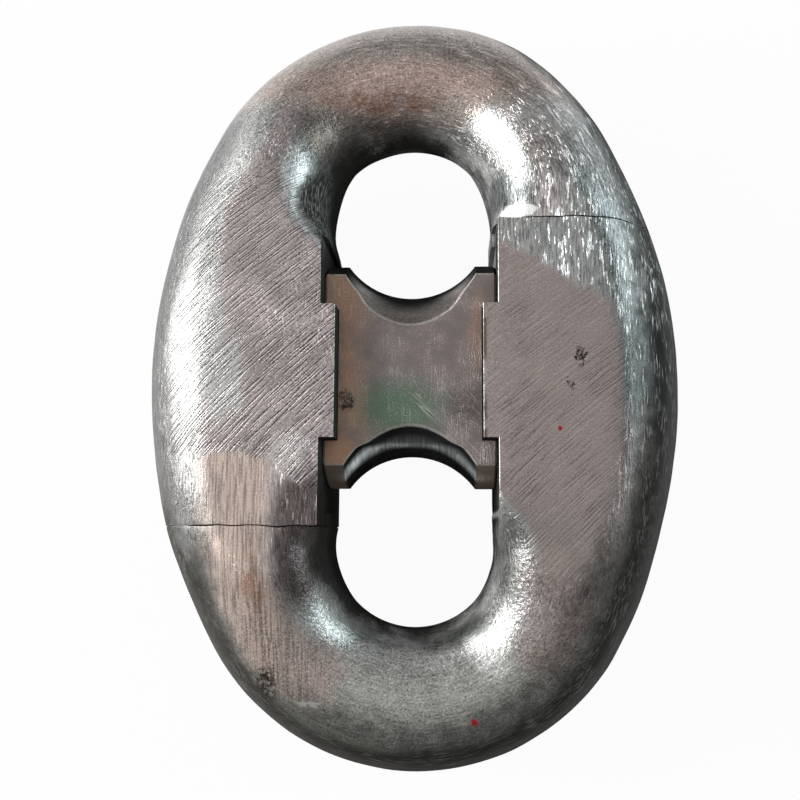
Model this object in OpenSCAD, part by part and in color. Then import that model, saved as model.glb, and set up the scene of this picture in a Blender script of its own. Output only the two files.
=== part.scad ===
// Chain joining shackle. Two half links of the same form hook together sideways through T-shaped
// tongues, a spool-shaped stud keeps their legs apart, a taper pin runs through tongues and stud,
// and a lead plug closes the pin's hole.
// X runs across the link, Y along the chain and Z through the thickness, from the link's centre.

/* [Link outline] */
// Length over both crowns
link_length = 156; // [140:0.5:176]
// Width over both legs
link_width = 109; // [100:0.5:120]
// Outside radius of each crown
crown_radius = 46.7; // [42:0.1:49]
// Radius of the round end of each bay
bay_radius = 16.7; // [14.5:0.1:17]
// Distance from the link's centre to the centre of each bay's round end
bay_offset = 34; // [32:0.5:38]

/* [Bar section] */
// Thickness of the legs between their ground faces
leg_thickness = 39.5; // [35:0.5:46]
// Forged height that is ground off each face
face_stock = 0.6; // [0.3:0.1:1]
// Thickness of the crown bar
crown_thickness = 26; // [22:0.5:30]
// Width of the rounding along the outside of each leg
leg_rounding = 19.5; // [15:0.5:21]
// Run along the bar, from mid length, over which the legs keep their full height
leg_run = 33; // [30:0.5:36]
// Run along the bar at which its inner edge starts to round
inner_round_start = 22; // [20:0.5:24]
// Run along the bar at which its inner edge has become fully round
inner_round_run = 44; // [40:0.5:50]
// Run along the bar at which its outer side has become fully round
outer_round_run = 68; // [60:0.5:76]

/* [Stud] */
// Radius of the stud's waist, where the neighbouring links bear
stud_waist_radius = 16.6; // [14:0.1:17.5]
// Radius of the flange at each end of the stud
stud_flange_radius = 23.2; // [21:0.1:24]
// Width of the rim of each flange
stud_rim = 4; // [3:0.1:5]
// Thickness of the stud between its milled faces
stud_thickness = 27; // [22:0.5:32]
// Gap between the leg seats that hold the stud
seat_gap = 34.4; // [34:0.1:36]
// Gap between the tabs of the legs that key the stud
tab_gap = 28.6; // [27:0.1:30]
// Height of each tab along the leg
tab_height = 26; // [22:0.1:30]
// Run of the machined seats past the stud at each end
seat_overrun = 4; // [3:0.5:5]

/* [Hooked joint] */
// Distance from mid length to the seam across each leg
seam_offset = 29.9; // [29:0.1:31]
// Depth of each tongue from the stud seat outwards
tongue_depth = 22; // [18:0.5:24]
// Thickness of the tongue's neck
neck_thickness = 15.6; // [12:0.2:18]
// Thickness of the tongue's head
head_thickness = 25; // [22:0.2:28]
// Distance from mid length to the shoulder under the head
shoulder_offset = 16; // [14:0.5:18]
// Reach of the head past mid length
head_reach = 8; // [6:0.5:10]
// Corner radius of the head, in section and at its outer end
head_corner = 3; // [2:0.5:4]

/* [Taper pin and lead plug] */
// Diameter of the pin's hole at the link's centre
pin_diameter = 9; // [7:0.1:10]
// Length of the pin over which its diameter grows by one unit
pin_taper = 50; // [30:1:80]
// Slope of the pin in the plane of the link, in degrees
pin_slope = 15; // [10:0.5:18]
// Depth of the pin's thin end below the surface
pin_sink = 2; // [1:0.1:4]
// Depth of the recess that holds the lead
lead_depth = 8; // [6:0.1:10]
// Diameter of the recess at its mouth
lead_mouth = 11.5; // [11:0.1:13]
// Diameter of the recess at its bottom
lead_base = 14; // [13:0.1:15]
// Depth of the lead's face below the surface
lead_sink = 1.2; // [0.8:0.1:2]

/* [Fits] */
// Clearance round each tongue in its socket
tongue_fit = 0.2; // [0.1:0.05:0.4]
// Gap at the seam across each leg
seam_gap = 0.3; // [0.1:0.05:0.5]
// Clearance of the stud in its seats and on the tabs
stud_fit = 0.15; // [0.05:0.05:0.3]
// Clearance round the pin and the lead
pin_fit = 0.05; // [0.02:0.01:0.1]

/* [Hidden] */
$fn = 64;

// Plain values that only serve the cuts and the mesh of the bar
cut_past = 3;
bar_flat = 0.5;
leg_inner_bulge = 1;
inner_round_aspect = 1.15;
inner_round_haste = 2.2;
leg_stations = 16;
crown_stations = 36;
shoulder_stations = 2;
outer_steps = 9;
inner_steps = 8;

// The outline is an oval of four arcs: two crowns, and two sides tangent to them
half_length = link_length / 2;
half_width = link_width / 2;
crown_centre = half_length - crown_radius;
side_radius = (half_width ^ 2 + half_length ^ 2 - 2 * half_length * crown_radius)
    / (2 * (half_width - crown_radius));
side_centre = side_radius - half_width;
side_share = crown_radius / (side_radius - crown_radius);
tangent_angle = atan2(crown_centre * (1 + side_share) - bay_offset, side_centre * side_share);
crown_bar_middle = (bay_radius + half_length - bay_offset) / 2;

// Stud, tabs and seats
seat_plane = seat_gap / 2;
tab_plane = tab_gap / 2;
tab_half = tab_height / 2;
seat_half = stud_flange_radius + seat_overrun;
stud_end = seat_plane - stud_fit;
rim_inside = stud_end - stud_rim;
saddle_rise = stud_flange_radius - stud_waist_radius;
saddle_radius = (rim_inside ^ 2 + saddle_rise ^ 2) / (2 * saddle_rise);

// Distance along the pin from the link's centre to the outside of the leg
pin_exit = sqrt((side_centre * cos(pin_slope)) ^ 2 + side_radius ^ 2 - side_centre ^ 2)
    - side_centre * cos(pin_slope);

// Height of the forging before its faces are ground, and what the legs carry inside the tabs
forged_half = leg_thickness / 2 + face_stock;
inner_stock = bay_radius - tab_plane + 2 * leg_inner_bulge;

function mix(a, b, share) = a + (b - a) * share;
function ease(from, to, at) =
    let (u = min(1, max(0, (at - from) / (to - from))))
    u * u * (3 - 2 * u);
function settle(from, to, at) = 1 - (1 - min(1, max(0, (at - from) / (to - from)))) ^ inner_round_haste;

// Half width of the outline at a height on the legs, and its distance from a bay's centre on the crown
function leg_outside(y) = sqrt(side_radius ^ 2 - y ^ 2) - side_centre;
function ray_length(along, square) = sqrt(along ^ 2 - square) - along;
function crown_outside(angle) =
    angle < tangent_angle
        ? ray_length(side_centre * cos(angle) + bay_offset * sin(angle),
            side_centre ^ 2 + bay_offset ^ 2 - side_radius ^ 2)
        : ray_length((bay_offset - crown_centre) * sin(angle),
            (bay_offset - crown_centre) ^ 2 - crown_radius ^ 2);

// One section of the bar: half an ellipse outside, a flat on each face, and rounded corners inside
function section(inside, outside, run) =
    let (
        bar = outside - inside,
        height = mix(forged_half, crown_thickness / 2, ease(leg_run, outer_round_run, run)),
        outer = mix(leg_rounding, (bar - bar_flat) / 2, ease(leg_run, outer_round_run, run)),
        inner = mix(leg_inner_bulge, bar - bar_flat - outer, settle(inner_round_start, inner_round_run, run)),
        inner_height = min(height - bar_flat / 2, inner_round_aspect * inner))
    concat(
        [for (i = [0:outer_steps])
            let (t = 90 * i / outer_steps)
            [outside - outer + outer * cos(t), height * sin(t)]],
        [for (end = [1, -1], i = [0:inner_steps])
            let (t = 90 * (end > 0 ? i : inner_steps - i) / inner_steps)
            [inside + inner - inner * sin(t), end * (height - inner_height + inner_height * cos(t))]],
        [for (i = [0:outer_steps - 1])
            let (t = 270 + 90 * i / outer_steps)
            [outside - outer + outer * cos(t), height * sin(t)]]);

// Sections of the bar from the seam on its long leg, round the crown, to the seam on its short leg
function leg_inside(y) = bay_radius - inner_stock * (1 - ease(tab_half, bay_offset, abs(y)));
function leg_section(side, y) =
    [for (p = section(leg_inside(y), leg_outside(y), y)) [side * p[0], y, p[1]]];
function crown_section(angle) =
    let (
        turn = min(angle, 180 - angle),
        run = bay_offset + crown_bar_middle * turn * PI / 180)
    [for (p = section(bay_radius, crown_outside(turn), run))
        [p[0] * cos(angle), bay_offset + p[0] * sin(angle), p[1]]];
function bar_sections() =
    let (long_end = -(seam_offset - seam_gap / 2), short_end = seam_offset + seam_gap / 2)
    concat(
        [for (i = [0:leg_stations - 1])
            leg_section(-1, mix(long_end, bay_offset, i / leg_stations))],
        [for (i = [0:crown_stations]) crown_section(180 - 180 * i / crown_stations)],
        [for (i = [1:shoulder_stations])
            leg_section(1, mix(bay_offset, short_end, i / shoulder_stations))]);

// The forged bar of one half link, bent over the upper bay
module bar() {
    rings = bar_sections();
    count = len(rings[0]);
    last = len(rings) - 1;
    sides = [for (i = [0:last - 1], j = [0:count - 1])
        let (a = i * count + j, b = i * count + (j + 1) % count)
        each [[a, a + count, b], [b, a + count, b + count]]];
    caps = [
        [for (j = [0:count - 1]) j],
        [for (j = [count - 1:-1:0]) last * count + j]];
    polyhedron(points = [for (ring = rings) each ring], faces = concat(sides, caps), convexity = 6);
}

// T-section of a tongue, neck upwards, grown by a clearance
module tongue_section(fit) {
    head_length = shoulder_offset + head_reach + 2 * fit;
    head_width = head_thickness + 2 * fit;
    round_off = head_corner + fit;
    translate([shoulder_offset, -neck_thickness / 2 - fit])
        square([seam_offset - shoulder_offset + cut_past, neck_thickness + 2 * fit]);
    translate([(shoulder_offset - head_reach) / 2, 0]) {
        square([head_length - 2 * round_off, head_width], center = true);
        square([head_length, head_width - 2 * round_off], center = true);
        for (u = [-1, 1], v = [-1, 1])
            translate([u * (head_length / 2 - round_off), v * (head_width / 2 - round_off)])
                circle(r = round_off);
    }
}

// A tongue from the given plane outwards along +X, its lower outer corner rounded
module tongue(from, fit) {
    outer_end = seat_plane + tongue_depth + fit;
    round_off = head_corner + fit;
    low = -head_reach - fit;
    intersection() {
        translate([from, 0, 0])
            rotate([90, 0, 90])
                linear_extrude(height = outer_end - from)
                    tongue_section(fit);
        linear_extrude(height = leg_thickness, center = true) {
            translate([0, low + round_off])
                square([outer_end, link_length]);
            translate([0, low])
                square([outer_end - round_off, link_length]);
            translate([outer_end - round_off, low + round_off])
                circle(r = round_off);
        }
    }
}

// The opening machined between the legs for the stud, narrower between the tabs
module stud_window() {
    linear_extrude(height = leg_thickness + 2 * cut_past, center = true) {
        square([2 * tab_plane, 2 * seat_half], center = true);
        for (side = [-1, 1])
            translate([-seat_plane, side > 0 ? tab_half : -seat_half])
                square([2 * seat_plane, seat_half - tab_half]);
    }
}

// The seat on the long leg runs out through the leg's end, past the ledge of the other half's tongue
module seat_run_out() {
    translate([-seat_plane, -link_length, -leg_thickness])
        cube([seat_plane, link_length - tab_half, 2 * leg_thickness]);
}

// Shapes along the pin's axis: its tapered hole, and the undercut recess for the lead
function pin_radius(at) = (pin_diameter + at / pin_taper) / 2;
module along_pin(from, to, from_radius, to_radius) {
    rotate([0, 0, pin_slope])
        rotate([0, 90, 0])
            translate([0, 0, from])
                cylinder(h = to - from, r1 = from_radius, r2 = to_radius);
}
module pin_hole() {
    reach = pin_exit + cut_past;
    along_pin(-reach, reach, pin_radius(-reach), pin_radius(reach));
}
function lead_radius(at) = mix(lead_base, lead_mouth, (at - pin_exit + lead_depth) / lead_depth) / 2;
module lead_recess() {
    bottom = pin_exit - lead_depth;
    top = pin_exit + cut_past;
    along_pin(bottom, top, lead_radius(bottom), lead_radius(top));
}

// One half link before the pin's hole is drilled: socket in the long leg, tongue on the short one
module half_link() {
    difference() {
        union() {
            difference() {
                intersection() {
                    bar();
                    cube([2 * link_width, 2 * link_length, leg_thickness], center = true);
                }
                rotate([0, 0, 180])
                    tongue(tab_plane - cut_past, tongue_fit);
            }
            difference() {
                tongue(tab_plane, 0);
                translate([0, seat_half, -leg_thickness / 2])
                    cube([leg_inside(seam_offset), link_length, leg_thickness]);
            }
        }
        stud_window();
        seat_run_out();
    }
}

module upper_half_link() {
    color([0.46, 0.43, 0.42])
        difference() {
            half_link();
            pin_hole();
        }
}

module lower_half_link() {
    color([0.42, 0.39, 0.38])
        difference() {
            rotate([0, 0, 180])
                half_link();
            pin_hole();
            lead_recess();
        }
}

// Spool turned about X, milled flat on its faces, slotted at its ends for the tabs
module centre_stud() {
    color([0.38, 0.36, 0.34])
        difference() {
            intersection() {
                rotate([0, 90, 0])
                    rotate_extrude()
                        difference() {
                            translate([0, -stud_end])
                                square([stud_flange_radius, 2 * stud_end]);
                            translate([stud_waist_radius + saddle_radius, 0])
                                circle(r = saddle_radius);
                        }
                cube([link_width, link_length, stud_thickness], center = true);
            }
            for (side = [-1, 1])
                translate([side * (tab_plane - stud_fit + cut_past), 0, 0])
                    cube([2 * cut_past, tab_height + 2 * stud_fit, 2 * stud_thickness], center = true);
            pin_hole();
        }
}

module taper_pin() {
    thin_end = pin_sink - pin_exit;
    thick_end = pin_exit - lead_depth;
    color([0.56, 0.55, 0.53])
        along_pin(thin_end, thick_end, pin_radius(thin_end) - pin_fit, pin_radius(thick_end) - pin_fit);
}

module lead_plug() {
    bottom = pin_exit - lead_depth + pin_fit;
    top = pin_exit - lead_sink;
    color([0.33, 0.34, 0.36])
        along_pin(bottom, top, lead_radius(bottom) - pin_fit, lead_radius(top) - pin_fit);
}

upper_half_link();
lower_half_link();
centre_stud();
taper_pin();
lead_plug();
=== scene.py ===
from math import asin, atan2, cos, pi, radians, sin, sqrt
import bmesh
import bpy
from mathutils import Matrix, Vector, noise


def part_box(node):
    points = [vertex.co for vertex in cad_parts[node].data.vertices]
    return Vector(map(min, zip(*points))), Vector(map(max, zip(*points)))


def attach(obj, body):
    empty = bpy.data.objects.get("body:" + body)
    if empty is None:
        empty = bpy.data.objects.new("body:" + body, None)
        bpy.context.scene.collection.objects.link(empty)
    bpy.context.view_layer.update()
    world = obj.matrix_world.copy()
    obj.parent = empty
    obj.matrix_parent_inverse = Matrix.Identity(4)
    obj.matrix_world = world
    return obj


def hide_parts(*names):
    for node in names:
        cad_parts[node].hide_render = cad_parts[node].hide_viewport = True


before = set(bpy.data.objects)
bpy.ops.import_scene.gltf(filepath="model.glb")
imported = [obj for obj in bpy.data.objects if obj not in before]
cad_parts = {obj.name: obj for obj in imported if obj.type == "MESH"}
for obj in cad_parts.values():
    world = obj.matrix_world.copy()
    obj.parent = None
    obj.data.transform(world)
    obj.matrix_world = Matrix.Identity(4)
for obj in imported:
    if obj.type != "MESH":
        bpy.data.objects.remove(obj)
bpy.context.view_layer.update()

# The two half links: forged steel C shapes, each with a long leg that holds a T-shaped socket and a
# short leg that ends in a T-headed tongue. The legs are ground flat on both faces and machined inside
# for the stud, the crowns stay round, and the tongues hook into the sockets sideways.
mm = 0.001
half_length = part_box("upper_half_link")[1].y
half_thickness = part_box("upper_half_link")[1].z
half_width = 54.5 * mm
crown_radius = 46.7 * mm
bay_radius = 16.7 * mm
bay_offset = 34 * mm
crown_half = 13 * mm
forged_half = half_thickness + 0.6 * mm
leg_rounding = 19.5 * mm
leg_bulge = 1 * mm
leg_run = 33 * mm
inner_round_start = 22 * mm
inner_round_run = 44 * mm
inner_round_aspect = 1.15
inner_round_haste = 2.2
outer_round_run = 68 * mm
crown_flat = 0.5 * mm
seat_plane = 17.2 * mm
tab_plane = 14.3 * mm
tab_half = 13 * mm
seat_half = 27.2 * mm
seam_offset = 29.9 * mm
seam_gap = 0.18 * mm
machined_edge = 0.24 * mm
grinding_blend = 0.55 * mm

# The outline is an oval of four arcs: two crowns, and two sides tangent to them
crown_centre = half_length - crown_radius
side_radius = ((half_width ** 2 + half_length ** 2 - 2 * half_length * crown_radius)
               / (2 * (half_width - crown_radius)))
side_centre = side_radius - half_width
side_share = crown_radius / (side_radius - crown_radius)
tangent_angle = atan2(crown_centre * (1 + side_share) - bay_offset, side_centre * side_share)
crown_bar_middle = (bay_radius + half_length - bay_offset) / 2
inner_stock = bay_radius - tab_plane + 2 * leg_bulge


def mix(a, b, share):
    return a + (b - a) * share


def ease(start, end, at):
    share = min(1, max(0, (at - start) / (end - start)))
    return share * share * (3 - 2 * share)


def settle(start, end, at):
    return 1 - (1 - min(1, max(0, (at - start) / (end - start)))) ** inner_round_haste


def leg_outside(y):
    return sqrt(side_radius ** 2 - y ** 2) - side_centre


def ray_length(along, square):
    return sqrt(along ** 2 - square) - along


def crown_outside(angle):
    """Distance from the bay's centre to the outline, at an angle from the cross axis."""
    if angle < tangent_angle:
        return ray_length(side_centre * cos(angle) + bay_offset * sin(angle),
                          side_centre ** 2 + bay_offset ** 2 - side_radius ** 2)
    off = bay_offset - crown_centre
    return ray_length(off * sin(angle), off ** 2 - crown_radius ** 2)


def ground(z):
    """Height of a point after the faces are ground: flat above half_thickness, with a soft edge."""
    over = z - half_thickness + grinding_blend
    if over <= 0:
        return z
    return z - over ** 2 / (4 * grinding_blend) if over < 2 * grinding_blend else half_thickness


outer_steps, flat_steps, corner_steps, wall_steps = 34, 10, 14, 6


def section(inside, outside, run, plane=None, shrink=0):
    """One closed section of the bar as (distance from the middle of the link, height) pairs.

    A machined seat or tab takes off all that lies inside its plane."""
    inside, outside = inside + shrink, outside - shrink
    bar = outside - inside
    rounding = ease(leg_run, outer_round_run, run)
    height = mix(forged_half, crown_half, rounding) - shrink
    outer = mix(leg_rounding, (bar - crown_flat) / 2, rounding)
    inner = mix(leg_bulge, bar - crown_flat - outer, settle(inner_round_start, inner_round_run, run))
    inner_height = min(height - crown_flat / 2, inner_round_aspect * inner)
    arc, top, wall = pi / 2, height, inside
    if plane:
        wall = plane + shrink
        left = inside + inner - wall
        if left > machined_edge:
            arc = asin(left / inner)
        else:
            inner = inner_height = machined_edge
            inside, top = wall, min(height, half_thickness - shrink)
    front = []
    for i in range(outer_steps + 1):
        t = pi / 2 * i / outer_steps
        front.append((outside - outer + outer * cos(t), height * sin(t)))
    for i in range(1, flat_steps):
        share = i / flat_steps
        front.append((mix(outside - outer, inside + inner, share), mix(height, top, share)))
    for i in range(corner_steps + 1):
        t = arc * i / corner_steps
        front.append((inside + inner - inner * sin(t), top - inner_height + inner_height * cos(t)))
    front = [(u, min(ground(z), half_thickness - shrink)) for u, z in front]
    edge = front[-1][1]
    for i in range(1, wall_steps + 1):
        front.append((wall, edge * (1 - i / wall_steps)))
    return front + [(u, -z) for u, z in front[-2:0:-1]]


def spread(start, end, spacing):
    """Evenly spaced values from start to end, both included."""
    count = max(1, round(abs(end - start) / spacing))
    return [mix(start, end, i / count) for i in range(count + 1)]


station_spacing = 1.1 * mm
step_rise = 0.02 * mm
seam_rounding = [(0, 0.14 * mm), (0.04 * mm, 0.05 * mm), (0.14 * mm, 0)]


def leg_ring(side, y, plane=None, shrink=0):
    ring = section(forged_inside(y), leg_outside(y), y, plane, shrink)
    return [Vector((side * u, y, z)) for u, z in ring]


def crown_ring(angle):
    turn = min(angle, pi - angle)
    run = bay_offset + crown_bar_middle * turn
    ring = section(bay_radius, crown_outside(turn), run)
    return [Vector((u * cos(angle), bay_offset + u * sin(angle), z)) for u, z in ring]


def forged_inside(y):
    return bay_radius - inner_stock * (1 - ease(tab_half, bay_offset, abs(y)))


def bar_rings():
    """Sections of one bar from the seam on its long leg, round the crown, to the seam on its short leg."""
    long_end = -(seam_offset - seam_gap / 2)
    short_end = seam_offset + seam_gap / 2
    zones = [
        (long_end + seam_rounding[-1][0], -tab_half, seat_plane),
        (-tab_half, tab_half, tab_plane),
        (tab_half, seat_half, seat_plane),
        (seat_half, bay_offset, None)]
    rings = [leg_ring(-1, long_end + along, seat_plane, shrink) for along, shrink in seam_rounding[:-1]]
    for start, end, plane in zones:
        for y in spread(start + step_rise, end - step_rise, station_spacing):
            rings.append(leg_ring(-1, y, plane))
    crown_steps = round(pi * crown_bar_middle / station_spacing)
    rings += [crown_ring(pi * (1 - i / crown_steps)) for i in range(crown_steps + 1)]
    for y in spread(bay_offset, short_end + seam_rounding[-1][0], station_spacing)[1:]:
        rings.append(leg_ring(1, y))
    rings += [leg_ring(1, short_end + along, None, shrink) for along, shrink in reversed(seam_rounding[:-1])]
    return rings


# Sizes of the unevenness, with the stretches, in millimetres or radians, over which it sets in and ends
forging_wave, forging_length = 0.16 * mm, 17
hammer_wave, hammer_length = 0.07 * mm, 5
flats_in, seats_out, window_out = (18.6, 19.6), (27, 31), (26, 34)
seat_reach, window_reach, least_swell = 18, 24, 0.4
seam_wave, seam_out, seam_lengths = 0.34 * mm, (0, 7), (4, 30, 8)
shoulder_lean, lean_in, lean_out = 1.15 * mm, (-0.45, 0.3), (0.55, 1.15)
bay_lift, lift_in = 0.65 * mm, (30, 44)
crown_drift, drift_in = 0.6 * mm, (30, 48)
bay_spread, spread_in, spread_out = 0.9 * mm, (26, 34), (0.5, 1.3)
lip_left, lip_right, lip_out = 16.3, 17.0, (32, 40)
depth_in = (bay_radius / mm + 4, crown_bar_middle / mm + 8)


def hammered(place, normal):
    """How forging moves a point, given in millimetres: swells on the rounds, and a wavy seam."""
    rounded = 1 - ease(*flats_in, abs(place.z))
    if abs(place.x) < seat_reach:
        rounded *= ease(*seats_out, abs(place.y))
    from_window = ease(*window_out, Vector((place.x, max(0, abs(place.y) - window_reach))).length)
    swell = (forging_wave * noise.noise(place / forging_length)
             + hammer_wave * noise.noise(place / hammer_length))
    move = normal * swell * rounded * max(from_window, least_swell)
    if place.x * place.y > 0:
        near_seam = 1 - ease(*seam_out, abs(abs(place.y) - seam_offset / mm))
        at = Vector(c / length for c, length in zip(place, seam_lengths))
        move.y += seam_wave * near_seam * noise.noise(at)
    return move


def uneven(place):
    """How this bar departs from the even shape at a point: a lean right shoulder, bays a little high and
    wide at the left, a lower crown a little to the right, and lips at the seat ends ground back."""
    from_bay = Vector((place.x, max(0, abs(place.y) - bay_offset / mm), 0))
    depth = ease(*depth_in, from_bay.length)
    bearing = atan2(abs(place.y) - bay_offset / mm, abs(place.x))
    move = Vector((0, bay_lift * (1 - depth) * ease(*lift_in, abs(place.y)), 0))
    if place.x > 0 and place.y > 0:
        bend = ease(*lean_in, bearing) * (1 - ease(*lean_out, bearing))
        move -= from_bay.normalized() * shoulder_lean * bend * depth
    if place.y < 0:
        move.x += crown_drift * ease(*drift_in, -place.y)
    elif place.x < 0:
        high_left = (1 - depth) * ease(*spread_in, place.y) * (1 - ease(*spread_out, bearing))
        move += from_bay.normalized() * bay_spread * high_left
    if place.x * place.y < 0 and abs(place.y) > seat_half / mm:
        lip = (lip_right if place.x > 0 else -lip_left) - place.x
        if lip * place.x > 0:
            move.x += lip * mm * (1 - ease(*lip_out, abs(place.y)))
    return move


def forge_marks(shape):
    """Moves the points of a bar as forging and hand grinding leave them."""
    shape.normal_update()
    moves = [hammered(v.co / mm, v.normal) + uneven(v.co / mm) for v in shape.verts]
    for v, move in zip(shape.verts, moves):
        v.co += move


def new_object(name, shape):
    bmesh.ops.recalc_face_normals(shape, faces=shape.faces)
    mesh = bpy.data.meshes.new(name)
    shape.to_mesh(mesh)
    shape.free()
    piece = bpy.data.objects.new(name, mesh)
    bpy.context.scene.collection.objects.link(piece)
    return piece


def carve(piece, tool, operation="DIFFERENCE"):
    """Cuts the tool's shape out of a piece, or joins it on, and takes the tool away."""
    cut = piece.modifiers.new("cut", "BOOLEAN")
    cut.object = tool
    cut.operation = operation
    cut.solver = "MANIFOLD"
    bake_modifiers(piece)
    bpy.data.objects.remove(tool)


def bake_modifiers(piece):
    graph = bpy.context.evaluated_depsgraph_get()
    mesh = bpy.data.meshes.new_from_object(piece.evaluated_get(graph))
    piece.modifiers.clear()
    piece.data = mesh


def shade(piece, crease=radians(38)):
    """Smooth shading that stops at edges, with the large faces keeping their own direction."""
    piece.data.shade_smooth()
    piece.data.set_sharp_from_angle(angle=crease)
    weight = piece.modifiers.new("flat faces first", "WEIGHTED_NORMAL")
    weight.keep_sharp = True
    bake_modifiers(piece)


def mark_bar(piece, turn):
    """Stores two things with each point of a bar, for its material.

    "outward" is how far it faces away from the bays: 1 outside, 0 on the faces, -1 inside. "bar" is the
    place in millimetres across the bar, along it and through it."""
    outward = piece.data.attributes.new("outward", "FLOAT", "POINT")
    bar = piece.data.attributes.new("bar", "FLOAT_VECTOR", "POINT")
    for v, facing, followed in zip(piece.data.vertices, outward.data, bar.data):
        past = max(0, abs(v.co.y) - bay_offset) * (1 if v.co.y > 0 else -1)
        facing.value = v.normal.dot(Vector((v.co.x, past, 0)).normalized())
        x, y, z = (turn.inverted() @ v.co) / mm
        bay = bay_offset / mm
        bend = atan2(max(0, y - bay), x)
        along = bend * crown_bar_middle / mm + (min(y, bay) - bay) * (1 if x > 0 else -1)
        followed.vector = (Vector((x, max(0, y - bay))).length, along, z + turn[0][0] * bay)


weld_distance = mm / 1000


def ringed(rings):
    """A closed solid through a row of sections with the same number of points: one bent grid, two caps."""
    around, along = len(rings[0]), len(rings) - 1
    shape = bmesh.new()
    bmesh.ops.create_grid(shape, x_segments=around, y_segments=along, size=0.5)
    for v in shape.verts:
        ring = rings[round((v.co.y + 0.5) * along)]
        v.co = ring[round((v.co.x + 0.5) * around) % around]
    bmesh.ops.remove_doubles(shape, verts=shape.verts, dist=weld_distance)
    bmesh.ops.holes_fill(shape, edges=shape.edges, sides=0)
    bmesh.ops.recalc_face_normals(shape, faces=shape.faces)
    return shape


def bar_shape(turn):
    """The forged bar of one half link, turned to its place and left as forging leaves it."""
    shape = ringed(bar_rings())
    bmesh.ops.transform(shape, matrix=turn, verts=shape.verts)
    forge_marks(shape)
    return shape


tongue_end = 39.2 * mm
neck_half = 7.8 * mm
head_half = 12.5 * mm
shoulder_offset = 16 * mm
head_reach = 8 * mm
head_corner = 3 * mm
tongue_fit = 0.2 * mm
tongue_root = 3 * mm


def tongue_shape(fit, turn):
    """A T-headed tongue that hangs from the seam of the right leg, grown by a clearance."""
    neck, head = neck_half + fit, head_half + fit
    top, low = shoulder_offset + fit, -head_reach - fit
    outline = [(low, -head), (top, -head), (top, -neck), (seam_offset + tongue_root, -neck)]
    outline += [(y, -z) for y, z in reversed(outline)]
    shape = bmesh.new()
    start = tab_plane - (tongue_root if fit else 0)
    face = shape.faces.new([shape.verts.new((start, y, z)) for y, z in outline])
    pulled = bmesh.ops.extrude_face_region(shape, geom=[face])["geom"]
    bmesh.ops.translate(shape, vec=(tongue_end + fit - start, 0, 0),
                        verts=[v for v in pulled if isinstance(v, bmesh.types.BMVert)])
    corners = [e for e in shape.edges
               if all(abs(abs(v.co.z) - head) < mm / 100 for v in e.verts)
               and abs(e.verts[0].co.x - e.verts[1].co.x) > mm]
    bmesh.ops.bevel(shape, geom=corners, offset=head_corner, offset_type="OFFSET", affect="EDGES",
                    segments=6, profile=0.5, material=-1)
    bmesh.ops.transform(shape, matrix=turn, verts=shape.verts)
    return shape


def block(name, low, high, turn):
    shape = bmesh.new()
    bmesh.ops.create_cube(shape, size=1)
    bmesh.ops.scale(shape, vec=Vector(high) - Vector(low), verts=shape.verts)
    bmesh.ops.translate(shape, vec=(Vector(high) + Vector(low)) / 2, verts=shape.verts)
    bmesh.ops.transform(shape, matrix=turn, verts=shape.verts)
    return new_object(name, shape)


pin_slope = radians(15)
pin_exit = (sqrt((side_centre * cos(pin_slope)) ** 2 + side_radius ** 2 - side_centre ** 2)
            - side_centre * cos(pin_slope))
pin_hole_radius = 4.5 * mm
pin_taper = 1 / 50
along_pin = Matrix.Rotation(pin_slope, 4, "Z") @ Matrix.Rotation(pi / 2, 4, "Y")


def turned(name, profile, steps=72):
    """A solid turned about the pin's axis, from (distance along the axis, radius) pairs."""
    shape = bmesh.new()
    points = [shape.verts.new((radius, 0, along)) for along, radius in profile]
    edges = [shape.edges.new(pair) for pair in zip(points, points[1:])]
    bmesh.ops.spin(shape, geom=points + edges, axis=(0, 0, 1), cent=(0, 0, 0), angle=2 * pi,
                   steps=steps, use_merge=True)
    bmesh.ops.remove_doubles(shape, verts=shape.verts, dist=weld_distance)
    bmesh.ops.transform(shape, matrix=along_pin, verts=shape.verts)
    return new_object(name, shape)


def pin_radius(along):
    return pin_hole_radius + pin_taper * along / 2


def pin_hole():
    reach = pin_exit + tongue_root
    return turned("hole", [(-reach, 0), (-reach, pin_radius(-reach)), (reach, pin_radius(reach)), (reach, 0)])


def half_link(name, turn):
    """One half link: the bar, the socket in its long leg, the tongue on its short leg, the pin's hole."""
    piece = new_object(name, bar_shape(turn))
    half_turn = Matrix.Rotation(pi, 4, "Z")
    carve(piece, new_object("socket", tongue_shape(tongue_fit, turn @ half_turn)))
    tongue = new_object("tongue", tongue_shape(0, turn))
    past_seam = seam_offset + 2 * seam_wave
    for start, end, plane in ((tab_half, seat_half, seat_plane),
                              (seat_half, past_seam, forged_inside(seam_offset)),
                              (past_seam, half_length, bay_radius + tongue_fit)):
        carve(tongue, block("seat", (0, start, -half_length), (plane, end, half_length), turn))
    carve(piece, tongue, "UNION")
    carve(piece, pin_hole())
    return piece


upper_half = half_link("upper_half_link_forging", Matrix.Identity(4))
lower_half = half_link("lower_half_link_forging", Matrix.Rotation(pi, 4, "Z"))

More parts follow.
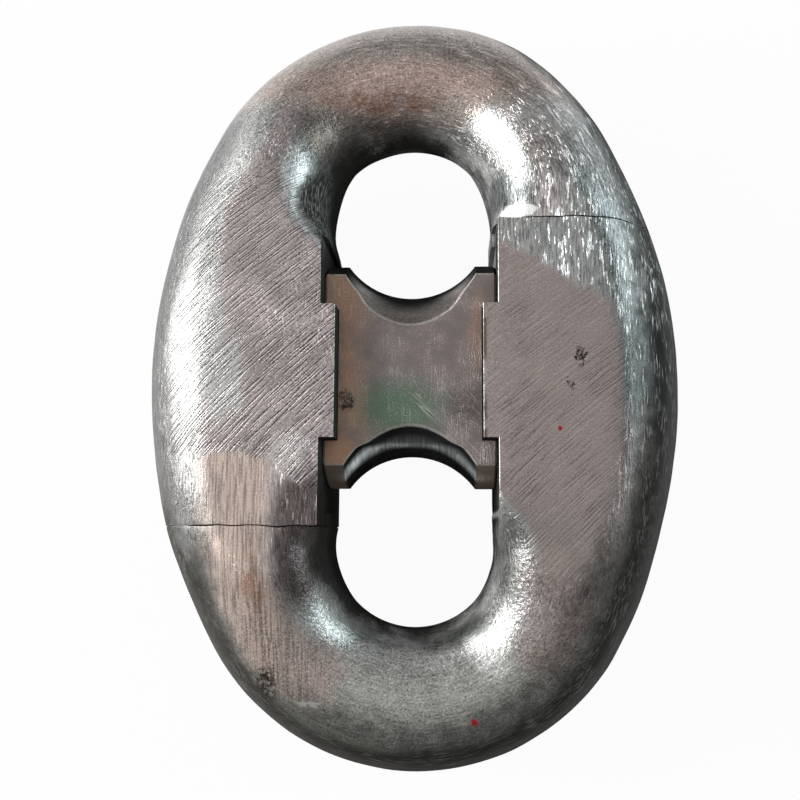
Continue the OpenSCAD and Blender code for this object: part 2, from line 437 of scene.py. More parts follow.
# The recess for the lead, wider at its bottom, at the right end of the pin's hole
lead_depth = 8 * mm
lead_mouth = 5.75 * mm
lead_base = 7 * mm
recess_past = 3 * mm
recess_slope = (lead_mouth - lead_base) / lead_depth
recess = [(pin_exit - lead_depth, 0), (pin_exit - lead_depth, lead_base),
          (pin_exit + recess_past, lead_mouth + recess_slope * recess_past), (pin_exit + recess_past, 0)]
carve(lower_half, turned("recess", recess))
mouth_flare = 0.5 * mm
thin_mouth = pin_radius(-pin_exit)
for piece, side, radius in ((upper_half, -1, thin_mouth), (lower_half, 1, lead_mouth)):
    end = side * pin_exit
    flare = [(end - side * 2 * mouth_flare, 0), (end - side * 2 * mouth_flare, radius - mouth_flare),
             (end + side * 3 * mouth_flare, radius + 4 * mouth_flare), (end + side * 3 * mouth_flare, 0)]
    carve(piece, turned("flare", flare))
    shade(piece)
    mark_bar(piece, Matrix.Rotation(0 if side < 0 else pi, 4, "Z"))


class Wire:
    """One output of a shader node. Arithmetic on wires and numbers adds Math nodes."""

    def __init__(self, socket):
        self.socket = socket
        self.tree = socket.id_data

    def node(self, kind, settings, values, output=0):
        """Adds any other node: its type, its settings, then the numbers or wires of its sockets."""
        made = self.tree.nodes.new("ShaderNode" + kind)
        for name, setting in settings.items():
            setattr(made, name, setting)
        for name, value in values.items():
            if isinstance(value, Wire):
                self.tree.links.new(value.socket, made.inputs[name])
            else:
                made.inputs[name].default_value = value
        return Wire(made.outputs[output])

    def math(self, operation, first, second):
        return self.node("Math", {"operation": operation}, {0: first, 1: second})

    def __add__(self, other):
        return self.math("ADD", self, other)

    __radd__ = __add__

    def __sub__(self, other):
        return self.math("SUBTRACT", self, other)

    def __rsub__(self, other):
        return self.math("SUBTRACT", other, self)

    def __mul__(self, other):
        return self.math("MULTIPLY", self, other)

    __rmul__ = __mul__

    def __abs__(self):
        return self.math("ABSOLUTE", self, 0)

    def least(self, other):
        return self.math("MINIMUM", self, other)

    def most(self, other):
        return self.math("MAXIMUM", self, other)

    def rise(self, start, end):
        """0 below start, 1 above end, and smooth between them; falls where end is below start."""
        return self.node("MapRange", {"interpolation_type": "SMOOTHSTEP"},
                         {"Value": self, "From Min": start, "From Max": end})

    def part(self, axis):
        return self.node("SeparateXYZ", {}, {"Vector": self}, axis)

    def moved(self, step):
        return self.node("VectorMath", {"operation": "ADD"}, {0: self, 1: step})

    def scaled(self, stretch):
        return self.node("VectorMath", {"operation": "MULTIPLY"}, {0: self, 1: stretch})

    def turned(self, degrees):
        """The place turned about the axis through the thickness."""
        return self.node("Mapping", {}, {"Vector": self, "Rotation": (0, 0, radians(degrees))})

    def warped(self, size, reach):
        """The place pushed about by noise, so that an edge drawn with it turns out ragged."""
        push = self.node("TexNoise", {}, {"Vector": self, "Scale": 1 / size, "Detail": 3.0, "Roughness": 0.6},
                         "Color")
        return self.node("VectorMath", {"operation": "MULTIPLY_ADD"},
                         {0: push.moved((-0.5, -0.5, -0.5)), 1: (2 * reach, 2 * reach, 2 * reach), 2: self})

    def noise(self, size, detail, roughness):
        """Cloudy noise from 0 to 1, with clouds of the given size."""
        return self.node("TexNoise", {}, {"Vector": self, "Scale": 1 / size, "Detail": detail,
                                          "Roughness": roughness})

    def drawn(self, size, detail, roughness):
        """Noise with clouds drawn out to a size along each axis."""
        return self.scaled(tuple(1 / reach for reach in size)).noise(1, detail, roughness)

    def lights(self, colour):
        """A colour made lighter or darker by this factor."""
        return self.node("VectorMath", {"operation": "SCALE"}, {0: colour, "Scale": self})

    def tint(self, colour, over):
        """A colour laid over another one, by this share from 0 to 1."""
        under, top = (tone if isinstance(tone, Wire) else (*tone, 1) for tone in (over, colour))
        return self.node("Mix", {"data_type": "RGBA"}, {0: self, 6: under, 7: top}, 2)


def new_finish(name):
    """A material, and a wire with the place on the piece in millimetres."""
    finish = bpy.data.materials.new(name)
    finish.use_nodes = True
    finish.node_tree.nodes.clear()
    place = Wire(finish.node_tree.nodes.new("ShaderNodeTexCoord").outputs["Object"])
    return finish, place.scaled((1 / mm, 1 / mm, 1 / mm))


def finish_surface(place, colour, roughness, metallic, height, depth, gloss=0.2):
    """Ends a material: its colour, roughness and metal, and a bump of a depth in metres."""
    surface = place.node("BsdfPrincipled", {}, {
        "Base Color": colour, "Roughness": roughness, "Metallic": metallic, "Specular IOR Level": gloss,
        "Normal": place.node("Bump", {}, {"Height": height, "Strength": 1.0, "Distance": depth})})
    output = place.tree.nodes.new("ShaderNodeOutputMaterial")
    place.tree.links.new(surface.socket, output.inputs["Surface"])


def streaks(place, degrees, spacing, length):
    """Noise drawn out along parallel lines of a direction, as a grinding disc leaves them."""
    return place.turned(degrees).drawn((length, spacing, spacing), 2.0, 0.45)


def spot(place, centre, reach, soft=0.5):
    """1 inside an ellipsoid in millimetres, 0 outside it, with a soft edge."""
    away = place.node("VectorMath", {"operation": "SUBTRACT"}, {0: place, 1: centre})
    away = away.scaled(tuple(1 / size for size in reach))
    return away.node("VectorMath", {"operation": "LENGTH"}, {0: away}, "Value").rise(1 + soft, 1 - soft)


def laid_over(tone, patches):
    """A tone with patches over it, each a share from 0 to 1 and a colour, the last one on top."""
    for share, colour in patches:
        tone = share.tint(colour, tone)
    return tone


ground_steel, place = new_finish("ground_steel")
x, y, z = (place.part(axis) for axis in range(3))
outward = place.node("Attribute", {"attribute_name": "outward"}, {}, "Fac")
bar = place.node("Attribute", {"attribute_name": "bar"}, {}, "Vector")
face = half_thickness / mm
warp = place.noise(4.5, 3.0, 0.6)
stray = warp - 0.5
patchy = place.noise(12, 3.0, 0.6)
ragged = place.warped(6, 3.5)
frayed = place.warped(4, 1.2)

# Marks: parallel grooves with lit edges on the flats, hairs along the bar on the rounds, grit on both.
# The grooves slope and bend a little, as an arm swings a disc.
groove_slope, groove_bend, groove_swing = 0.85, 0.004, 0.0015
groove_size, lit_edge = (9, 0.38, 9), (0, 0.285, 0)
disc = place.node("CombineXYZ", {}, {
    "X": x + groove_slope * y,
    "Y": y * (1 + groove_bend * y) - x * (groove_slope - groove_swing * x),
    "Z": z})
bundle = disc.drawn((16, 4, 4), 2.0, 0.5)
groove = disc.drawn(groove_size, 1.0, 0.5).rise(0.46, 0.62) * bundle.rise(0.1, 0.5)
glint = disc.moved(lit_edge).drawn(groove_size, 1.0, 0.5).rise(0.50, 0.66) * bundle.rise(0.15, 0.6)
hairs = bar.drawn((0.3, 3.2, 0.3), 2.0, 0.6)
mottle = bar.drawn((2.2, 6, 2.2), 3.0, 0.6)
flecks = bar.drawn((0.5, 3.4, 0.5), 2.0, 0.6).rise(0.53, 0.66) * mottle.rise(0.35, 0.58)
brush = place.drawn((0.36, 7, 7), 2.0, 0.5)
grit = place.noise(0.38, 2.0, 0.7)
dimples = place.noise(0.9, 2.0, 0.6)
speck = place.noise(0.55, 1.0, 0.5).rise(0.62, 0.70)
nick_glint = streaks(place, 78, 0.4, 2.6).rise(0.60, 0.68)

# The flats and the rounds, and the upper right end, where the flat is brushed over by hand
left = x.rise(6, -6)
low = y.rise(-18, -40)
crown = abs(y).rise(40, 54)
flank = outward.rise(0.70, 0.92)
top_right = x.rise(4, 10) * y.rise(29.4, 30.2)
flat = (abs(z) + 1.4 * warp).rise(19.6, 20.3) * (1 - top_right)
fringe = (4 * flat * (1 - flat)).least(1)
brushed_edge = (y + 0.55 * x - 34.7).most(x + 0.35 * y - 43.5)
brushed_over = (brushed_edge + 5 * stray).rise(-1.5, 1.5) * x.rise(0, 10)
round_off = abs(outward).rise(0.1, 0.42).most(brushed_over).most(top_right)

# Dark scale on the outer sides, and dark walls in the bays and round the stud: partly scale and oxide, partly
# painted shade, which also stands in for the dark room the outer sides reflect
scale_and_shade_from = mix(mix(0.80, 0.46, x.rise(-25, 35)), mix(0.54, 0.42, x.rise(-30, 5)), low)
scale_and_shade_from = scale_and_shade_from + mix(0.32, 0.2, x.rise(10, 30)) * y.rise(12, 40)
scale = (outward - scale_and_shade_from + 0.3 * stray + 0.25 * (mottle - 0.5) + 0.3 * (hairs - 0.5)).rise(-0.08, 0.24)
scale = scale * (1 - 0.35 * x.rise(-30, -45) * y.rise(-30, -20))
bright_seat = x.rise(8, 10) * abs(y).rise(14, 16)
window = abs(x).rise(17.6, 17.3) * abs(y).rise(34, 32) * abs(z).rise(19.5, 19.1) * (1 - 0.45 * bright_seat)
wall_from = mix(-0.80, mix(-0.74, -0.50, spot(place, (-19, 31, 14), (7, 8, 12))), abs(x).rise(6, 15))
wall_from = wall_from - x.rise(4, 12) * mix(0.12, 0.16, y.rise(-10, 10)) * abs(y).rise(25, 31)
wall = (wall_from - outward + 0.25 * stray + 0.3 * (grit - 0.5)).rise(-0.1, 0.2).most(window)
dark = scale.most(wall)

# The lower left leg: below a slanting edge the disc's marks end, and a band of bared beige steel follows
vee = (y + 16 + 0.75 * (x + 28).most(0) + 6 * stray).rise(0.8, -0.8)
across = bar.part(0) + 4 * stray
bared = (vee * across.rise(24, 29.5) * across.rise(42, 36)
         * (y + 12 * warp).rise(-64, -50) * (x + 8 * warp).rise(-8, -16))
beige = bared * (1 - scale)
purple = vee * spot(frayed, (-20.5, -32, 18), (5.8, 14, 9), 0.3)
purple = purple.most(spot(ragged, (-19, -25, 19), (2.6, 7, 9))) * (1 - beige)
ground_over = flat.most(abs(outward).rise(0.80, 0.52) * left * y.rise(46, 34))
ground_over = ground_over * (1 - 0.85 * brushed_over) * (1 - vee * left)

# Single marks: painted highlights on the left rounding and at the right seam end, painted shade under the
# upper crown and on the lower crown, heat colours, rust, pits, paint, scratches, nicks with painted glints,
# and a dark broken line along the right tab
# Painted highlight: the left rounding made lighter where it would reflect the left lamp
painted_left_highlight = spot(ragged, (-41.5, 8, 17), (6.5, 19, 9), 0.35)
painted_left_highlight = painted_left_highlight.most(spot(ragged, (-36.5, -1, 18), (4.8, 9, 9), 0.4))
# Painted shade on the underside of the upper crown, inside the bay
under_crown = spot(ragged, (-15, 50, 12), (9, 6.5, 9), 0.4).most(spot(ragged, (-6, 53, 9), (11, 3, 8)))
pink = spot(ragged, (-3, 60, 13), (24, 6, 10))
low_pink = spot(ragged, (-19, -57, 13), (6, 6, 9), 0.6).most(spot(ragged, (27, -47, 15), (6, 12, 9), 0.6))
cloudy = warp.rise(0.35, 0.6)
rust = spot(ragged, (-6, 57.5, 13), (12, 2.4, 8), 0.6) * cloudy
blister_place, blister_reach = (-29.3, -41, 17), (2.2, 7.5, 9)
blister = spot(frayed, blister_place, blister_reach) * cloudy
crumbled = place.node("CombineXYZ", {}, {"X": x + 5 * (dimples - 0.5), "Y": y + 5 * (grit - 0.5), "Z": z})
pits = (spot(crumbled, (32.9, 2.5, face), (0.7, 1.8, 4), 0.4) + spot(crumbled, (31, -3, face), (0.5, 0.6, 4))
        + spot(crumbled, (-27, -60, 12), (1.9, 4.2, 6), 0.4) * dimples.rise(0.42, 0.56)
        + spot(ragged, (32, 0, face), (3.5, 8, 4), 0.6) * dimples.rise(0.66, 0.72))
pits = pits.least(1) * grit.rise(0.3, 0.5)
paint = spot(frayed, (28.6, -11.3, face), (0.42, 0.45, 4), 0.4)
paint = (paint + spot(frayed, (12.6, -66.5, 12.5), (0.7, 0.8, 4), 0.4)).least(1)
scratch = spot(ragged, (-19.5, -63.5, 11), (3.4, 0.35, 6))
# Painted highlight: a near white, less metallic patch at the right end of the upper bar by the seam
painted_end_highlight = spot(frayed, (21.2, 31.6, 17), (4.0, 1.35, 9), 0.15)
# Nicks with painted glints on the left flat and the upper crown
nick_glint_places = (spot(ragged, (-22, 12, face), (6, 5, 4), 0.6) + spot(ragged, (-16, 6, face), (1.6, 7, 4), 0.4)
          + spot(ragged, (-23.5, 47, 16), (5, 6, 8)) + 0.4 * spot(ragged, (-8, 65, 12), (12, 4, 8))).least(1)
# Darker in broken stretches along the right tab's edge
dark_tab_edge = x.rise(13.6, 14) * x.rise(15.2, 14.7) * abs(y).rise(13.6, 13.2) * warp.rise(0.44, 0.56)
# Painted shade on the outer side of the lower crown, which faces away from the lamps
painted_low_shade = low * (outward + 0.8 * stray + 0.8 * (mottle - 0.5)).rise(0.02, 0.5) * (1 - beige)

# Tones: the regions first, then painted highlights and shade, and what use and handling laid over them
lower_right = x.rise(20, 30) * y.rise(-2, -18) * y.rise(-64, -50) * outward.rise(-0.1, 0.1)
painted_right_shade = x.rise(39.5, 43) * y.rise(14, 4) * y.rise(-46, -32)
seam_end = top_right * x.rise(33, 26) * outward.rise(-0.3, -0.1)
steel = patchy.rise(0.35, 0.65).tint((0.59, 0.525, 0.52), (0.43, 0.385, 0.38))
steel = laid_over(steel, (
    # Painted highlight on the left rounding
    (0.8 * painted_left_highlight, (0.66, 0.665, 0.66)),
    (x.rise(5, 20) * flat, (0.39, 0.332, 0.32)),
    (round_off, (0.42, 0.43, 0.425)),
    (outward.rise(-0.08, -0.34), (0.66, 0.67, 0.66)),
    (x.rise(30, 40) * round_off * y.rise(-18, -2), (0.28, 0.29, 0.29)),
    (lower_right, (0.40, 0.345, 0.333)),
    # Painted shade on the lower stretch of the right rounding
    (0.7 * painted_right_shade, (0.11, 0.11, 0.108)),
    # Painted highlight on the right rounding above it
    (0.8 * spot(ragged, (45, 18, 12), (4, 7, 8)), (0.62, 0.63, 0.62)),
    (x.rise(-32, -44) * round_off * (1 - painted_left_highlight), (0.215, 0.213, 0.21)),
    (x.rise(-30, -42) * y.rise(12, 24) * round_off, (0.185, 0.187, 0.187)),
    (seam_end, (0.57, 0.53, 0.52)),
    (y.rise(-46, -58) * outward.rise(-0.6, -0.3), (0.43, 0.435, 0.41)),
    (y.rise(52, 60), (0.46, 0.42, 0.40)),

    # Painted shade and painted highlights at the ends of the bays, dark where a highlight should stop and
    # light where it should lie, then lighter and darker patches on a shoulder and on the flats
    # Painted shade at the ends of the bays
    (0.9 * spot(ragged, (18.8, 36, 14), (6, 5, 10), 0.4), (0.17, 0.19, 0.195)),
    (0.85 * spot(ragged, (20, -35.5, 17), (4.5, 9, 8), 0.4), (0.25, 0.265, 0.265)),
    (0.9 * spot(ragged, (-18.2, 46, 14), (5, 5, 8)), (0.13, 0.13, 0.13)),
    # Painted highlights at the ends of the bays
    (0.8 * spot(ragged, (-22.5, 40, 15), (3, 4, 8)), (0.85, 0.87, 0.87)),
    (0.9 * spot(ragged, (24.5, -45.5, 14), (4.5, 5.5, 8)), (0.90, 0.92, 0.93)),
    (0.7 * spot(ragged, (15, -55, 12), (4, 3.5, 8)), (0.80, 0.81, 0.80)),
    # Lighter and darker patches on a shoulder and on the flats
    (0.6 * spot(ragged, (27, 52, 12), (6, 6, 8)), (0.66, 0.66, 0.66)),
    (0.5 * spot(ragged, (-22, -17, face), (5, 5, 4)), (0.85, 0.83, 0.82)),
    (0.35 * spot(ragged, (25, -33, 18), (8, 8, 8)), (0.25, 0.23, 0.22)),
    (0.3 * spot(ragged, (-23, 0, face), (9, 8, 5)), (0.33, 0.30, 0.29)),

    # Heat colours and rust, with painted shade under the upper crown and on the lower left rounding
    (beige, (0.56, 0.46, 0.41)),
    # Painted shade where the lower left rounding would catch the left lamp
    (0.6 * spot(ragged, (-38.2, -29, 16), (2.6, 8, 8)), (0.20, 0.18, 0.17)),
    (purple, (0.15, 0.13, 0.127)),
    # Painted shade under the upper crown
    (0.9 * under_crown, (0.17, 0.14, 0.125)),
    (pink, (0.52, 0.40, 0.36)),
    # Lighter at the right end of the painted shade under the upper crown
    (0.6 * spot(ragged, (8, 56, 9), (7, 3.5, 8)), (0.70, 0.60, 0.55)),
    (0.8 * low_pink, (0.48, 0.395, 0.375)),
    (0.8 * rust, (0.26, 0.14, 0.09)),
    (0.7 * blister, (0.33, 0.19, 0.13)),

    # Painted shade on the outer side of the lower crown and on the inner top of the lower bay, and a lighter
    # patch low on the left side
    (0.7 * painted_low_shade, (0.12, 0.12, 0.11)),
    (0.8 * spot(ragged, (3, -49.5, 11), (13, 3.5, 8)), (0.13, 0.15, 0.14)),
    (0.55 * spot(ragged, (-44.5, -33, 10), (3, 7, 8)), (0.50, 0.50, 0.49))))

# The marks make the tones lighter and darker. The specks on the crowns and along the edges of the flats, the
# nicks and the bright flecks on the rounds are partly painted glints
groove_depth = mix(0.42 * patchy.rise(0.36, 0.6), 0.74, left)
disc_marks = glint * mix(0.25, 0.75, left) - groove * groove_depth + (grit - 0.5) * mix(0.1, 1.3, left)
lines = (ground_over * disc_marks + crown * speck * mix(0.3, 0.5, y.rise(-10, 10))
         + 0.8 * fringe * speck + 0.9 * nick_glint_places * nick_glint)
hair_depth = mix(0.8, 0.4, crown).most(1.1 * top_right.most(brushed_over) * y.rise(56, 42))
fleck_depth = mix(mix(0.35, 0.1, low), 2.8, x.rise(20, 36) * y.rise(-26, -4))
strokes = (1 - ground_over) * ((hairs.rise(0.28, 0.72) - 0.5) * hair_depth
                               + (mottle - 0.55) * mix(0.75, 0.6, crown) + flecks * round_off * fleck_depth)
beige_lines = 0.5 * beige * (brush.rise(0.44, 0.62) - 0.4)
light = 1 + lines + strokes * (1 - 0.8 * beige) + (grit - 0.5) * mix(1.1, 2.4, crown) - beige_lines
steel = light.most(0.12).lights(steel)

# A dark broken line along the right tab, scale and painted shade with bare flecks and hairs in them, and the
# single marks lie on top
bare_hairs = hairs.rise(0.45, 0.65)
fleck_wear = 0.45 * flecks * scale * mix(0.15, 1, x.rise(20, 36) * y.rise(-20, 5)) * (1 - 0.65 * flank)
hair_wear = 0.5 * scale * bare_hairs * mottle.rise(0.35, 0.6) * (1 - 0.5 * flank)
wall_wear = 0.3 * wall * spot(place, (-19, 33, 14), (7, 8, 12)) * bare_hairs
scale_and_shade_tone = flank.tint((0.085, 0.082, 0.078), (0.030, 0.029, 0.026))
steel = laid_over(steel, (
    (0.85 * dark_tab_edge, (0.12, 0.095, 0.085)),
    # Painted shade and scale: near black, dull and without reflection
    (dark * (0.97 - fleck_wear - hair_wear - wall_wear), scale_and_shade_tone),
    (pits, (0.03, 0.025, 0.02)),
    (paint, (0.36, 0.02, 0.03)),
    (0.6 * scratch, (0.85, 0.85, 0.83)),
    (painted_end_highlight, (0.95, 0.95, 0.94))))
steel_rough = 0.36 + 0.14 * grit + 0.08 * beige + 0.2 * dark - 0.10 * round_off
steel_metal = (0.85 - 0.25 * beige - 0.85 * dark - 0.4 * rust - 0.8 * paint - 0.7 * painted_end_highlight).most(0)
dimple_depth = mix(0.35 * crown, 1.2, outward.rise(-0.1, -0.35)) * outward.rise(-0.8, -0.5)
forged_height = (hairs * mix(0.45, 0.2, crown) + flecks * mix(0.7, 0.2, low.most(flank))
                 + dimples * dimple_depth)
steel_height = (ground_over * (glint - groove) * mix(0.12, 0.3, left)
                + 0.8 * spot(place, blister_place, blister_reach) * grit
                + (1 - ground_over) * (1 - 0.8 * bared) * forged_height - 0.35 * bared * brush + 0.25 * grit)
steel_relief = 0.12 * mm
finish_surface(place, steel, steel_rough, steel_metal, steel_height, steel_relief, 0)

for piece, node in ((upper_half, "upper_half_link"), (lower_half, "lower_half_link")):
    piece.data.materials.clear()
    piece.data.materials.append(ground_steel)
    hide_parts(node)
    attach(piece, "root")

# The centre stud: a steel spool turned about the cross axis, milled flat on both faces and slotted at
# its ends for the tabs of the legs. It keeps the legs apart, and the neighbouring links bear on it.
stud_end, stud_flange_radius, stud_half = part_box("centre_stud")[1]
stud_waist_radius = 16.6 * mm
stud_rim = 4 * mm
stud_fit = 0.15 * mm
stud_edge = 0.4 * mm
stud_lift = 1.2 * mm
stud_lift_run = 3 * mm
stud_spacing = 0.6 * mm
face_steps, edge_steps, round_steps = 12, 5, 18
rim_inside = stud_end - stud_rim
saddle_rise = stud_flange_radius - stud_waist_radius
saddle_radius = (rim_inside ** 2 + saddle_rise ** 2) / (2 * saddle_rise)


def saddle(x):
    return stud_waist_radius + saddle_radius - sqrt(saddle_radius ** 2 - x ** 2)


def stud_ring(x, radius, half):
    """One section of the spool: a circle milled flat on both faces, with worn edges between."""
    corner = sqrt(radius ** 2 - half ** 2)
    low = asin(half / radius) - stud_edge / radius
    start, end = Vector((corner - stud_edge, half)), Vector((radius * cos(low), radius * sin(low)))
    edge = Vector((corner, half))
    quarter = [Vector((i / face_steps * start.x, half)) for i in range(face_steps)]
    for i in range(edge_steps + 1):
        t = i / edge_steps
        quarter.append(start.lerp(edge, t).lerp(edge.lerp(end, t), t))
    for i in range(1, round_steps + 1):
        t = low * (1 - i / round_steps)
        quarter.append(Vector((radius * cos(t), radius * sin(t))))
    upper = quarter[:-1] + [Vector((y, -z)) for y, z in reversed(quarter)]
    ring = upper + [Vector((-y, z)) for y, z in upper[-2:0:-1]]
    return [Vector((x, y + stud_lift * ease(tab_half, tab_half + stud_lift_run, abs(y)), z)) for y, z in ring]


stud_profile = [(stud_end, stud_flange_radius - stud_edge, stud_half - stud_edge),
                (stud_end - stud_edge, stud_flange_radius, stud_half)]
stud_profile += [(x, saddle(x), stud_half) for x in spread(rim_inside, -rim_inside, stud_spacing)]
stud_profile += [(-x, radius, half) for x, radius, half in stud_profile[1::-1]]
stud = new_object("centre_stud_spool", ringed([stud_ring(*station) for station in stud_profile]))
notch = tab_plane - stud_fit
for side in (-1, 1):
    carve(stud, block("notch", (notch, -tab_half - stud_fit, -half_length),
                      (half_length, tab_half + stud_fit, half_length),
                      Matrix.Rotation(0 if side > 0 else pi, 4, "Z")))
carve(stud, pin_hole())
shade(stud)


def hairline(cloud, width):
    """Thin lines where a noise passes its middle."""
    return abs(cloud - 0.5).rise(width, 0.15 * width)


stud_steel, place = new_finish("stud_steel")
x, y, z = (place.part(axis) for axis in range(3))
height = abs(z)
face = height.rise(12.95, 13.2)
rim = height.rise(12.9, 13.15) * height.rise(13.47, 13.35)
ragged = place.warped(3, 1.6)
crumbled = place.warped(1.2, 1.1)
grain = place.noise(0.55, 3.0, 0.7)
clouds = place.noise(6, 4.0, 0.6)
speck = place.noise(0.30, 1.0, 0.5).rise(0.58, 0.70) * clouds.rise(0.3, 0.6)
marks = hairline(streaks(place, 88, 0.7, 9), 0.035) * clouds.rise(0.42, 0.6)
slant = hairline(streaks(place, 44, 1.6, 30), 0.012) * y.rise(-1, -4) * x.rise(-2, 2)
rust = (x.rise(-5.5, -13.5) * clouds.rise(0.25, 0.6) + spot(ragged, (-15, -18, 13), (5, 5, 6), 0.4)
        + 0.5 * spot(ragged, (13.5, 9, 13), (1.6, 7, 6), 0.6)).least(1)
green = spot(ragged, (-2.5, -6.5, 13), (9, 5, 6), 0.7)
smudge = 0.55 * spot(ragged, (11, -6.5, 13), (3.2, 3.5, 6), 0.7)
smudge = (smudge + spot(crumbled, (-12.6, -5.3, 13), (1.6, 2.2, 6), 0.35)).least(1)
metal = clouds.rise(0.3, 0.7).tint((0.37, 0.312, 0.305), (0.275, 0.238, 0.23))
metal = laid_over(metal, (
    (0.85 * green, (0.14, 0.245, 0.175)),
    (0.85 * rust, (0.53, 0.31, 0.20)),
    (smudge * grain.rise(0.3, 0.6), (0.05, 0.042, 0.038)),
    (0.6 * speck, (0.74, 0.72, 0.70)),
    (0.25 * marks, (0.70, 0.68, 0.66)),
    (0.5 * slant, (0.72, 0.70, 0.68))))

# The saddles are painted dark, a painted shade for the dark room they face. The lower one has a streaked band
# of polished metal with a painted sheen and a painted highlight at its left, and the upper one is painted
# grey where light falls on it from above
streaked = place.drawn((0.4, 7, 7), 3.0, 0.6).rise(0.25, 0.70)
polish_and_sheen = mix(0.45, 1, streaked) * mix(1, 0.6, clouds.rise(0.4, 0.6))
band = height.rise(6.5, 9.5) * height.rise(12.2, 9.8) * polish_and_sheen * y.rise(2, -2)
upper = y.rise(-2, 2) * height.rise(7.5, 12) * abs(x).rise(13, 9)
saddle_tone = clouds.rise(0.3, 0.7).tint((0.035, 0.036, 0.035), (0.014, 0.015, 0.014))
saddle_tone = laid_over(saddle_tone, (
    (0.9 * band, (0.36, 0.39, 0.39)),
    # Painted highlight at the left end of the band
    (band * x.rise(-4, -10) * x.rise(-15, -12), (0.80, 0.86, 0.86)),
    # Painted light on the upper saddle
    (upper * mix(0.55, 1, grain.rise(0.3, 0.65)), (0.36, 0.33, 0.31)),
    (0.8 * abs(x).rise(12.7, 13.4) * y.rise(0, -2), (0.30, 0.24, 0.20))))
metal = face.tint(metal, saddle_tone)
# Painted highlight along the worn edges of the faces
metal = (0.7 * rim * grain.rise(0.3, 0.5)).tint((0.75, 0.72, 0.69), metal)
stud_rough = 0.26 + 0.2 * face + 0.14 * grain
stud_metal = 0.7 * band.most(face).most(upper) - 0.3 * rust * face
stud_height = 0.3 * speck - 0.3 * marks + 0.5 * grain * face
stud_relief = 0.1 * mm
finish_surface(place, metal, stud_rough, stud_metal, stud_height, stud_relief, 0)
stud.data.materials.clear()
stud.data.materials.append(stud_steel)
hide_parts("centre_stud")
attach(stud, "root")

# The taper pin: a ground steel pin driven from the right through the legs, the tongues and the stud.
# It locks the joint. Both its ends lie below the surface.
pin_fit = 0.05 * mm
pin_sink = 2 * mm
pin_edge = 0.5 * mm
thin_end = pin_sink - pin_exit
thick_end = pin_exit - lead_depth
pin_profile = [(thin_end, 0), (thin_end, pin_radius(thin_end) - pin_fit - pin_edge),
               (thin_end + pin_edge, pin_radius(thin_end) - pin_fit),
               (thick_end, pin_radius(thick_end) - pin_fit), (thick_end, 0)]
pin = turned("taper_pin_ground", pin_profile)
shade(pin)
pin_steel, place = new_finish("pin_steel")
grain = place.noise(1.0, 3.0, 0.6)
pin_colour = grain.rise(0.3, 0.7).tint((0.60, 0.58, 0.56), (0.46, 0.44, 0.42))
finish_surface(place, pin_colour, 0.3 + 0.2 * grain, 1.0, grain, 0.1 * mm)
pin.data.materials.append(pin_steel)
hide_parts("taper_pin")
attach(pin, "root")

# The lead plug: lead hammered into the recess over the thick end of the pin, a little below the surface.
# The recess is wider at its bottom, so that the lead stays in it.
lead_sink = 1.2 * mm
lead_low, lead_top = pin_exit - lead_depth + pin_fit, pin_exit - lead_sink
lead_radius = lead_mouth - recess_slope * lead_sink - pin_fit
lead_dome = 0.5 * mm
lead_rings = 8
lead_profile = [(lead_low, 0), (lead_low, lead_base - pin_fit), (lead_top - lead_dome, lead_radius)]
lead_profile += [(lead_top - lead_dome * share ** 2, lead_radius * share)
                 for share in (1 - i / lead_rings for i in range(1, lead_rings + 1))]
plug = turned("lead_plug_hammered", lead_profile)
hammer_dent, dent_size, dent_level = 0.25 * mm, 2.2 * mm, 0.3
pin_axis = along_pin @ Vector((0, 0, 1))
for v in plug.data.vertices:
    on_face = ease(lead_top - 2 * lead_dome, lead_top - lead_dome / 2, v.co @ pin_axis)
    v.co += pin_axis * hammer_dent * on_face * (noise.noise(v.co / dent_size) - dent_level)
shade(plug)
lead, place = new_finish("lead")
grain = place.noise(0.8, 4.0, 0.6)
lead_colour = grain.rise(0.3, 0.7).tint((0.36, 0.37, 0.39), (0.24, 0.25, 0.26))
finish_surface(place, lead_colour, 0.5 + 0.2 * grain, 0.85, grain, 0.15 * mm)
plug.data.materials.append(lead)
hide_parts("lead_plug")
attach(plug, "root")

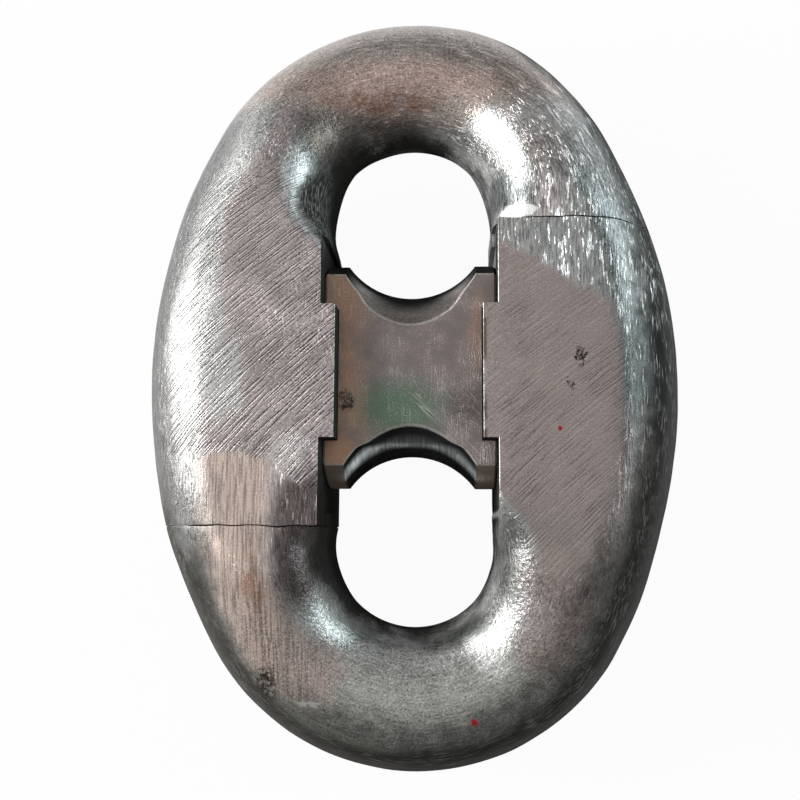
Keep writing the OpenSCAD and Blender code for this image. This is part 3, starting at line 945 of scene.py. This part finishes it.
# The stage: a white floor that the shackle lies on, soft boxes at its left and right, and a camera that
# looks down on it a little from its lower end.
floor_size = 3.0
white_share = 0.95
floor_shape = bmesh.new()
bmesh.ops.create_grid(floor_shape, x_segments=1, y_segments=1, size=floor_size)
bmesh.ops.translate(floor_shape, vec=(0, 0, -half_thickness), verts=floor_shape.verts)
floor = new_object("floor", floor_shape)
floor_paint, place = new_finish("floor_paint")
path = place.tree.nodes.new("ShaderNodeLightPath").outputs
seen = sum((Wire(path[ray]) for ray in ("Is Camera Ray", "Is Glossy Ray", "Is Transmission Ray"))).least(1)
paper = place.node("BsdfDiffuse", {}, {"Color": (0.92, 0.92, 0.92, 1)})
white = place.node("Emission", {}, {"Color": (1, 1, 1, 1), "Strength": 1.0})
mixed = place.node("MixShader", {}, {0: white_share * seen, 1: paper, 2: white})
place.tree.links.new(mixed.socket, place.tree.nodes.new("ShaderNodeOutputMaterial").inputs["Surface"])
floor.data.materials.append(floor_paint)


def soft_box(name, place, size, power, colour):
    lamp = bpy.data.lights.new(name, "AREA")
    lamp.shape = "RECTANGLE"
    lamp.size, lamp.size_y = size
    lamp.energy = power
    lamp.color = colour
    box = bpy.data.objects.new(name, lamp)
    box.location = place
    box.rotation_euler = (-Vector(place)).to_track_quat("-Z", "Y").to_euler()
    bpy.context.scene.collection.objects.link(box)


soft_box("left_window", (-0.80, 0.24, 0.16), (0.76, 0.22), 5.0, (1.0, 0.99, 0.97))
soft_box("left_door", (-0.76, 0.02, 0.42), (0.30, 0.36), 3.6, (1.0, 0.99, 0.97))
soft_box("left_high", (-0.64, 0.50, 0.28), (0.34, 0.26), 1.8, (1.0, 0.99, 0.97))
soft_box("right_window", (0.80, 0.25, 0.24), (0.74, 0.36), 3.0, (0.82, 0.97, 1.0))
soft_box("ceiling", (0.0, 0.1, 1.4), (1.5, 1.5), 3.0, (1.0, 0.99, 0.98))

world = bpy.data.worlds.new("room")
world.use_nodes = True
world.node_tree.nodes["Background"].inputs["Color"].default_value = (0.22, 0.218, 0.215, 1)
bpy.context.scene.world = world

camera_data = bpy.data.cameras.new("camera")
camera_data.sensor_width = 36
camera_data.lens = 47.3014
camera = bpy.data.objects.new("camera", camera_data)
camera_tilt, camera_swing, camera_roll = radians(7.382), radians(2.907), radians(0.314)
camera_distance = 220.292 * mm
camera_target = Vector((-2.6 * mm, -3.39 * mm, 0))
back = Vector((sin(camera_swing) * cos(camera_tilt), -sin(camera_tilt), cos(camera_swing) * cos(camera_tilt)))
right = Vector((0, 1, 0)).cross(back).normalized()
up = back.cross(right)
turn = Matrix((right, up, back)).transposed() @ Matrix.Rotation(camera_roll, 3, "Z")
camera.matrix_world = Matrix.Translation(camera_target + back * camera_distance) @ turn.to_4x4()
bpy.context.scene.collection.objects.link(camera)
bpy.context.scene.camera = camera
bpy.context.scene.view_settings.view_transform = "Standard"
